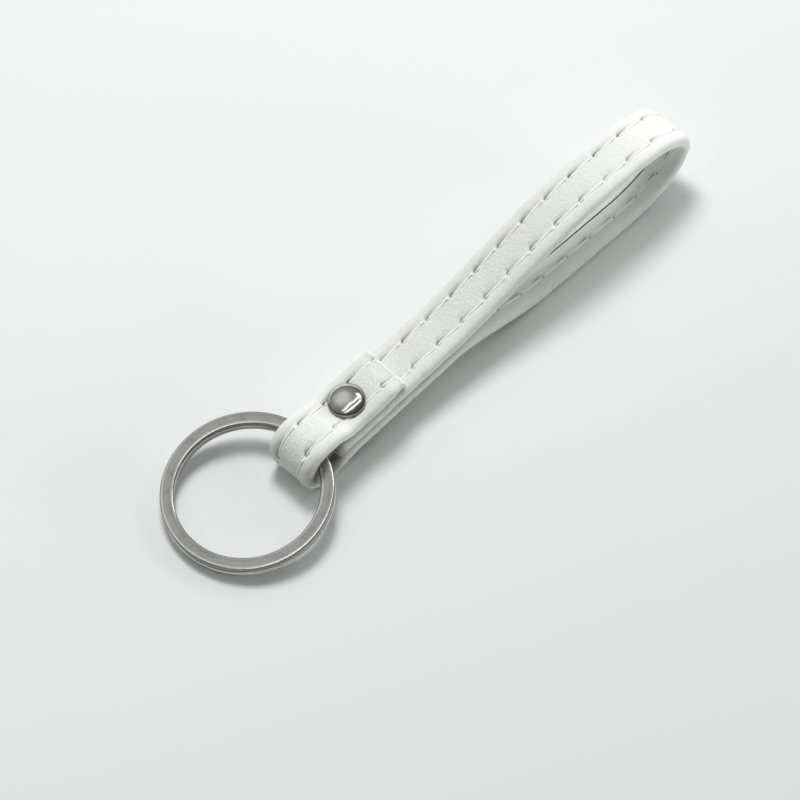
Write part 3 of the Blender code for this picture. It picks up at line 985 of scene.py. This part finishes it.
def makeSkinFinish():
    look = skinLook
    finish = Finish("white_coated_fabric", Specular_IOR_Level=look["specular"])
    stripPlace = finish.read("strip_place")
    place = finish.flat(stripPlace)
    litPatched = finish.part(stripPlace, "Z")
    marks = finish.read("strip_marks")
    panel, hollow, seamReach = (finish.part(marks, letter) for letter in "XYZ")
    paintedLight = finish.read("strip_painted_light")
    crevice, rub, lip = (finish.part(paintedLight, letter) for letter in "XYZ")
    pebble = finish.cells(place, look["pebble"])
    fine = finish.noise(place, *look["fine"])
    cloudy = finish.noise(place, *look["cloud"])
    creases = finish.noise(finish.stretch(place, look["creaseStretch"]), *look["crease"])
    dots = finish.within(finish.noise(place, *look["dot"]), *look["dotEdges"])
    seam = 1 - finish.within(seamReach, *look["seamEdges"])

    # Painted shade inside the fold round the ring bar
    foldShadeShare = rub * (look["foldShadeShares"][0] + fine * look["foldShadeShares"][1])
    # Painted shade along the lines where the layers meet
    creviceShadeShare = crevice * (look["creviceShadeShares"][0] + fine * look["creviceShadeShares"][1])
    # Painted shade in the stitch pits and along the grooves
    hollowShare = finish.within(hollow, *look["hollowEdges"]) * look["hollowShare"]
    # Painted light: whiter round the fold and on the loop's crown, where light falls
    colour = finish.blend(litPatched, finish.blend(cloudy, *look["baseTones"]), look["litPatch"])
    colour = finish.layers(
        colour, look, dotted=dots * look["dotShare"], rubbed=foldShadeShare, dusty=creviceShadeShare,
        hollow=hollowShare, cutLip=lip * look["cutLipShare"], seam=seam,
    )

    rough = finish.total(look["rough"], look["roughBy"], fine=fine, panel=panel, seam=seam, rub=rub)
    pebbled = pebble * (look["grainBy"]["margin"] + panel * look["grainBy"]["panel"])
    grain = pebbled + fine * look["grainBy"]["fine"]
    creased = finish.relief(creases, *look["creaseRelief"])
    return finish.feed(
        Base_Color=colour, Roughness=rough, Normal=finish.relief(grain, *look["grainRelief"], creased)
    )


# Finishes made of one noise: its stretch, two shades, the roughness with what the noise adds, and relief
plainLooks = {
    "cut_backing": {
        "noise": (0.00012, 4.0), "stretch": (1.0, 1.0, 1.0), "metal": 0.0, "rough": (0.85, 0.0),
        "shades": (shade(246, 246, 243), shade(222, 220, 213)), "relief": (0.00008, 0.7),
    },
    "filler_board": {
        "noise": (0.00025, 4.0), "stretch": (0.3, 1.0, 1.0), "metal": 0.0, "rough": (0.9, 0.0),
        "shades": (shade(214, 207, 193), shade(186, 177, 160)), "relief": (0.0001, 0.6),
    },
    "drawn_stem_steel": {
        "noise": (0.0001, 3.0), "stretch": (1.0, 1.0, 0.1), "metal": 1.0, "rough": (0.3, 0.15),
        "shades": (shade(200, 199, 196), shade(176, 174, 170)), "relief": (0.00002, 0.4),
    },
}


def makePlainFinish(name):
    look = plainLooks[name]
    finish = Finish(name, Metallic=look["metal"])
    grain = finish.noise(finish.stretch(finish.place(), look["stretch"]), *look["noise"])
    return finish.feed(
        Base_Color=finish.blend(grain, *look["shades"]),
        Roughness=look["rough"][0] + grain * look["rough"][1],
        Normal=finish.relief(grain, *look["relief"]),
    )


# Threads: one twisted length for each stitch, diving into the holes at both ends
threads = {
    "rings": 44,
    "sides": 14,
    "ply": 0.07,
    "twist": 0.0011,
    "startShare": 0.10,
    "endShare": 0.90,
    "needleLevel": -0.00021,
    "needleDeep": -0.00048,
    "lowShare": 0.4,
    "lowDrop": 0.0002,
    "knotLift": 0.00017,
    "knotReach": 0.09,
    "needleLean": 0.3,
    "drift": 0.00003,
    "bobbinLevel": -0.00007,
    "bobbinDeep": -0.0003,
    "bobbinFlat": 0.7,
    "endWidth": 0.8,
    "endReach": 0.06,
    "holeGap": 0.00016,
    "tableGap": 0.00002,
    "cutGap": 0.0003,
    "leastShare": 0.2,
}


def threadMiddle(rail, row, needle, number, along, share):
    # A stitch's middle line from hole to hole, at its height over the flat of the strip
    kind = "needle" if needle else "bobbin"
    deep, level = threads[kind + "Deep"], threads[kind + "Level"]
    between = eased(share, 0, threads["startShare"]) * (1 - eased(share, threads["endShare"], 1))
    height = deep + (level - deep) * between
    drift = threads["drift"] * wander(1, number * stitching["driftStep"] + row)[0]
    across = row * (stitching["line"] + drift)
    if needle:
        across = across + row * stitching["slant"] * (1 - 2 * share)
        across = across - threads["needleLean"] * stitching["lean"]
        height = height + threads["knotLift"] * hump(share - threads["startShare"], threads["knotReach"])
        height = height - threads["lowDrop"] * eased(share, threads["lowShare"], 1)
        height = height - cover["taperDrop"] * tabTaper(along, across)
    return rail.put(along, across, (1 if needle else -1) * (half + height))


def threadRings(centre, angle, along, share, flat):
    # Two plies twisted round each other, a little thinner at both ends
    tangent = np.gradient(centre, axis=0)
    tangent /= np.linalg.norm(tangent, axis=1)[:, None]
    upward = np.cross(tangent, np.array([0, 1.0, 0]))
    upward /= np.linalg.norm(upward, axis=1)[:, None]
    aside = np.cross(tangent, upward)
    turn = angle[None, :] - 2 * math.pi * along[:, None] / threads["twist"]
    thick = eased(np.minimum(share, 1 - share), 0, threads["endReach"])
    taper = threads["endWidth"] + (1 - threads["endWidth"]) * thick
    reach = stitching["thread"] / 2 * (1 + threads["ply"] * np.cos(2 * turn)) * taper[:, None]
    outward = np.cos(angle)[None, :, None] * flat * upward[:, None]
    outward = outward + np.sin(angle)[None, :, None] * aside[:, None]
    rings = centre[:, None] + reach[..., None] * outward
    rings[..., 2] = np.maximum(rings[..., 2], threads["tableGap"])
    return rings.reshape(-1, 3)


def makeThreadRow(rail, name, row, needle, finish):
    holes = rowHoles(row, rail.length)
    rings, sides = threads["rings"], threads["sides"]
    angle = np.linspace(0, 2 * math.pi, sides, endpoint=False)
    points, places, faces = [], [], []
    for number in range(len(holes) - 1):
        start = holes[number] + threads["holeGap"]
        span = holes[number + 1] - threads["holeGap"] - start
        first = max(0, (threads["cutGap"] - start) / span)
        last = min(1, (rail.length - threads["cutGap"] - start) / span)
        if last - first < threads["leastShare"]:
            continue
        share = np.linspace(first, last, rings)
        along = start + span * share
        centre = threadMiddle(rail, row, needle, number, along, share)
        faces += tubeFaces(rings, sides, len(points) * rings * sides)
        points.append(threadRings(centre, angle, along, share, 1 if needle else threads["bobbinFlat"]))
        place = np.broadcast_arrays(along[:, None], angle[None, :], number)
        places.append(np.stack(place, -1).reshape(-1, 3))
    item = pieceFromArrays(name, np.concatenate(points), faces, [finish])
    carryAttribute(item, "thread_place", np.concatenate(places))
    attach(item, "strap")


threadLook = {
    "sheen": 0.25,
    "sheenRough": 0.5,
    "fuzz": (0.00008, 3.0),
    "shades": (shade(253, 253, 251), shade(240, 240, 236)),
    "rough": (0.55, 0.2),
    "strands": 5.0,
    "strandHeight": 0.5,
    "relief": (0.00003, 0.6),
}


def makeThreadFinish():
    look = threadLook
    finish = Finish("white_sewing_thread", Sheen_Weight=look["sheen"], Sheen_Roughness=look["sheenRough"])
    place = finish.read("thread_place")
    fuzz = finish.noise(finish.place(), *look["fuzz"])
    turn = finish.part(place, "X") * (2 * math.pi / threads["twist"]) - finish.part(place, "Y")
    strands = finish.node("Math", {"operation": "SINE"}, {0: turn * look["strands"]})
    return finish.feed(
        Base_Color=finish.blend(fuzz, *look["shades"]),
        Roughness=look["rough"][0] + fuzz * look["rough"][1],
        Normal=finish.relief(strands * look["strandHeight"] + fuzz, *look["relief"]),
    )


# Rivet caps: spun domes with a narrow flat rim, standing in the leather
cap = {
    "diameter": 0.0066,
    "height": 0.0022,
    "rimHeight": 0.00075,
    "rimWidth": 0.00012,
    "metal": 0.0003,
    "sink": 0.00018,
    "arcSteps": 40,
    "rimSteps": 9,
    "rimStart": 0.25,
    "turns": 128,
    "sharpAngle": 50,
}


def capProfile():
    # Radius and height from the top of the dome, down over the rim and back up inside
    domeReach = cap["diameter"] / 2 - cap["rimWidth"]
    rim = cap["rimHeight"]
    domeRise = cap["height"] - rim
    ball = (domeReach ** 2 + domeRise ** 2) / (2 * domeRise)
    edge = math.asin(domeReach / ball)
    angles = np.linspace(0, edge, cap["arcSteps"])
    outside = [(ball * math.sin(angle), rim + domeRise - ball * (1 - math.cos(angle))) for angle in angles]
    rimRound = [
        (domeReach + cap["rimWidth"] * math.sin(angle), rim / 2 + rim / 2 * math.cos(angle))
        for angle in np.linspace(cap["rimStart"], math.pi, cap["rimSteps"])
    ]
    thin = 1 - cap["metal"] / domeReach
    inside = [(radius * thin, height * thin) for radius, height in outside[::-2]]
    profile = outside + rimRound + inside
    return [(0, profile[0][1])] + profile[1:-1] + [(0, profile[-1][1])]


def makeCap(name, node, upward, finish):
    # Turned about the rivet's own tilted axis
    shape = bmesh.new()
    profile = capProfile()
    rows = []
    for radius, height in profile:
        if radius == 0:
            rows.append([shape.verts.new((0, 0, height))])
        else:
            rows.append([
                shape.verts.new((radius * math.cos(angle), radius * math.sin(angle), height))
                for angle in np.linspace(0, 2 * math.pi, cap["turns"], endpoint=False)
            ])
    for first, second in zip(rows, rows[1:]):
        for step in range(cap["turns"]):
            following = (step + 1) % cap["turns"]
            corners = [first[step % len(first)], first[following % len(first)]]
            corners += [second[following % len(second)], second[step % len(second)]]
            shape.faces.new(list(dict.fromkeys(corners)))
    item = meshPiece(name, shape)
    item.data.materials.append(finish)
    item.data.shade_smooth()
    item.data.set_sharp_from_angle(angle=math.radians(cap["sharpAngle"]))
    seat = layerPitch + half - cap["sink"]
    x, z = rivetPoint(seat if upward else -seat)
    item.location = (x, eyeCentre.y, z)
    item.rotation_euler = (0 if upward else math.pi, -clampTilt, 0)
    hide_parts(node)
    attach(item, "strap")
    print("cap pressed on:", name)


# Bright plating with a faint haze, specks, a few shallow dents and a darker rim, partly tarnish and partly
# painted shade
capLook = {
    "haze": (0.0014, 4.0),
    "dent": (0.0021, 1.0),
    "speck": (0.00018, 3.0),
    "speckEdges": (0.5, 0.8),
    "shades": (shade(234, 234, 229), shade(208, 207, 200)),
    # Darker rim: partly tarnish, partly painted shade
    "rim": shade(118, 117, 111),
    "rimEdges": (0.00286, 0.00312),
    "rimShare": 0.75,
    "rough": 0.12,
    "roughBy": {"speck": 0.1, "haze": 0.06},
    "dentRelief": (0.00016, 0.5),
    "hazeRelief": (0.00002, 0.15),
}


def makeCapFinish():
    look = capLook
    finish = Finish("polished_plating", Metallic=1.0)
    place = finish.place()
    haze = finish.noise(place, *look["haze"])
    dents = finish.noise(place, *look["dent"])
    specks = finish.within(finish.noise(place, *look["speck"]), *look["speckEdges"])
    fromAxis = finish.node("VectorMath", {"operation": "LENGTH"}, {0: finish.flat(place)}, "Value")
    # Darker rim: partly tarnish, partly painted shade that dims the rim's reflection
    rim = finish.within(fromAxis, *look["rimEdges"]) * look["rimShare"]
    dented = finish.relief(dents, *look["dentRelief"])
    return finish.feed(
        Base_Color=finish.blend(rim, finish.blend(haze, *look["shades"]), look["rim"]),
        Roughness=finish.total(look["rough"], look["roughBy"], speck=specks, haze=haze),
        Normal=finish.relief(haze, *look["hazeRelief"], dented),
    )


# Split ring: two turns of flat wire, closer together than the CAD draws them
ringWire = {
    "slit": 0.00014,
    "cornerRound": 0.00045,
    "cornerSteps": 12,
    "faceSteps": 14,
    "crown": 0.00017,
    "turnSteps": 460,
    "crossover": 26.0,
    "crossoverSteps": 24,
    "endGap": 0.00045,
    "sharpAngle": 60,
}


def ringSection():
    # Rounded flat wire: outward from the ring, and up, with domed faces
    wall = ringFrame["wall"]
    height = (ringFrame["height"] - ringWire["slit"]) / 2
    corner = ringWire["cornerRound"]
    crown = ringWire["crown"]
    reach = wall / 2 - corner
    rise = height / 2 - corner - crown
    lean = math.degrees(math.atan(2 * crown / reach))
    outline = []
    for across, up, start, end in (
        (reach, rise, 0, 90 - lean), (-reach, rise, 90 + lean, 180),
        (-reach, -rise, 180, 270 - lean), (reach, -rise, 270 + lean, 360),
    ):
        for angle in np.radians(np.linspace(start, end, ringWire["cornerSteps"] + 1)):
            outline.append((across + corner * math.cos(angle), up + corner * math.sin(angle)))
        if start in (0, 180):
            side = 1 if start == 0 else -1
            flat = outline[-1][0]
            foot = abs(outline[-1][1])
            for share in np.linspace(1, -1, ringWire["faceSteps"] + 2)[1:-1]:
                outline.append((abs(flat) * side * share, side * (foot + crown * (1 - share ** 2))))
    return np.array(outline)


def ringRoute():
    # Angle and level of the wire's middle over its two turns
    crossover = math.radians(ringWire["crossover"])
    plain = 2 * math.pi - crossover
    endTurn = ringWire["endGap"] / ringMid
    level = (ringFrame["height"] + ringWire["slit"]) / 4
    turn = np.linspace(endTurn, plain, ringWire["turnSteps"])
    cross = np.linspace(0, 1, ringWire["crossoverSteps"] + 1)[1:-1]
    stops = np.concatenate([turn, plain + crossover * cross, 2 * math.pi + turn - endTurn])
    down = np.clip((stops - plain) / crossover, 0, 1)
    return stops + crossover / 2, level * np.cos(math.pi * down)


def makeRing(finish):
    section = ringSection()
    angles, levels = ringRoute()
    turned = angles - math.asin(ringFrame["barSide"] / ringMid)
    outward = np.stack([np.cos(turned), np.sin(turned), 0 * turned], -1)
    middle = np.array([-ringOffset, ringFrame["barSide"], 0])
    centre = ringMid * outward + middle + levels[:, None] * np.array([0, 0, 1])
    rings = centre[:, None] + section[None, :, :1] * outward[:, None]
    rings[..., 2] += section[None, :, 1]
    rows, columns = rings.shape[:2]
    item = pieceFromArrays("ring_wire", rings.reshape(-1, 3), tubeFaces(rows, columns), [finish])

    # What the finish reads: the place on the wire, and how close a point is to the slit and the inner rim,
    # where the finish paints shade
    place = np.broadcast_arrays(angles[:, None] * ringMid, section[None, :, 0], section[None, :, 1])
    carryAttribute(item, "wire_place", np.stack(place, -1))
    halfHeight = (ringFrame["height"] - ringWire["slit"]) / 4
    upperTurn = (levels > 0)[:, None]
    toSlit = np.where(upperTurn, -1, 1) * section[None, :, 1] / halfHeight
    inward = np.clip(-section[None, :, 0] / (ringFrame["wall"] / 2), 0, 1)
    carryAttribute(item, "wire_marks", np.stack(np.broadcast_arrays(toSlit, inward, upperTurn), -1))
    item.location = eyeCentre
    item.rotation_euler = (0, -ringTilt, 0)
    item.data.set_sharp_from_angle(angle=math.radians(ringWire["sharpAngle"]))
    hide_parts("split_ring")
    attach(item, "ring")
    print("ring wire:", rows, "sections")


# Satin faces and bright rubbed shoulders; painted shade along the rims and on the inner wall, and dirt with
# painted shade in the slit
ringLook = {
    "shoulder": (0.00055, 0.0008),
    "shoulderShare": 0.9,
    "rimEdges": (0.00094, 0.00112),
    "rimShares": (0.15, 0.6),
    "slitEdges": (0.45, 0.9),
    "slitShare": 0.9,
    "innerEdges": (0.86, 1.0),
    "innerShares": (0.6, 0.3),
    "cloud": (0.0022, 4.0),
    "cloudEdges": (0.4, 0.75),
    "brush": (0.00012, 3.0),
    "brushStretch": (0.08, 1.0, 1.0),
    "shades": (shade(188, 188, 184), shade(170, 169, 163)),
    "bright": shade(244, 244, 242),
    # Painted shade for the rims and the inner wall; dirt and painted shade for the slit
    "rim": shade(96, 94, 87),
    "inner": shade(96, 88, 76),
    "slit": shade(62, 57, 50),
    "rough": 0.25,
    "roughBy": {"cloud": 0.06, "shoulder": -0.07, "slit": 0.25},
    "cloudHeight": 0.3,
    "shoulderSmooth": 0.96,
    "relief": (0.00002, 0.3),
}


def makeRingFinish():
    look = ringLook
    finish = Finish("satin_ring_steel", Metallic=1.0)
    wire = finish.read("wire_place")
    marks = finish.read("wire_marks")
    toSlit, inward, upper = (finish.part(marks, letter) for letter in "XYZ")
    reach = finish.node("Math", {"operation": "ABSOLUTE"}, {0: finish.part(wire, "Y")})
    shoulder = finish.within(reach, *look["shoulder"])
    slit = finish.within(toSlit, *look["slitEdges"])
    rimShare = look["rimShares"][0] + upper * look["rimShares"][1]
    innerShare = look["innerShares"][0] + toSlit * look["innerShares"][1]
    cloudy = finish.noise(finish.place(), *look["cloud"])
    brushed = finish.noise(finish.stretch(wire, look["brushStretch"]), *look["brush"])
    colour = finish.blend(finish.within(cloudy, *look["cloudEdges"]), *look["shades"])
    # Painted shade on the rims and the inner wall, standing for dark reflections; dirt and painted shade in
    # the slit
    colour = finish.layers(
        colour, look, bright=shoulder * look["shoulderShare"],
        rim=finish.within(reach, *look["rimEdges"]) * rimShare,
        inner=finish.within(inward, *look["innerEdges"]) * innerShare, slit=slit * look["slitShare"],
    )
    rough = finish.total(look["rough"], look["roughBy"], cloud=cloudy, shoulder=shoulder, slit=slit)
    height = (brushed + cloudy * look["cloudHeight"]) * (1 - shoulder * look["shoulderSmooth"])
    return finish.feed(Base_Color=colour, Roughness=rough, Normal=finish.relief(height, *look["relief"]))


def dressStem(finish):
    # The two stem pieces inside the strap are carried over from the CAD
    for name in ("rivet_cap_socket", "rivet_rear_pin"):
        node = frame["nodes"][name]
        node.data.materials.clear()
        node.data.materials.append(finish)
    print("stem dressed")


bpy.context.scene.view_settings.view_transform = "Standard"
makeCamera(cameraView)
makeRoom(room)
rail = Rail(stripKnots(), strip["bendSamples"])
makeCover(rail, makeSkinFinish(), makePlainFinish("cut_backing"))
threadFinish = makeThreadFinish()
for rowName, row in (("left", 1), ("right", -1)):
    makeThreadRow(rail, "needle_thread_" + rowName, row, True, threadFinish)
    makeThreadRow(rail, "bobbin_thread_" + rowName, row, False, threadFinish)
print("threads laid")
capFinish = makeCapFinish()
makeCap("rivet_cap", "rivet_cap_shell", True, capFinish)
makeCap("rivet_rear_cap", "rivet_rear_shell", False, capFinish)
makeRing(makeRingFinish())
makeFiller(rail, makePlainFinish("filler_board"))
dressStem(makePlainFinish("drawn_stem_steel"))

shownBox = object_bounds()
corners = [[round(value, 4) for value in corner] for corner in (*cadBox, *shownBox)]
print("box of the frame and of what shows:", corners)
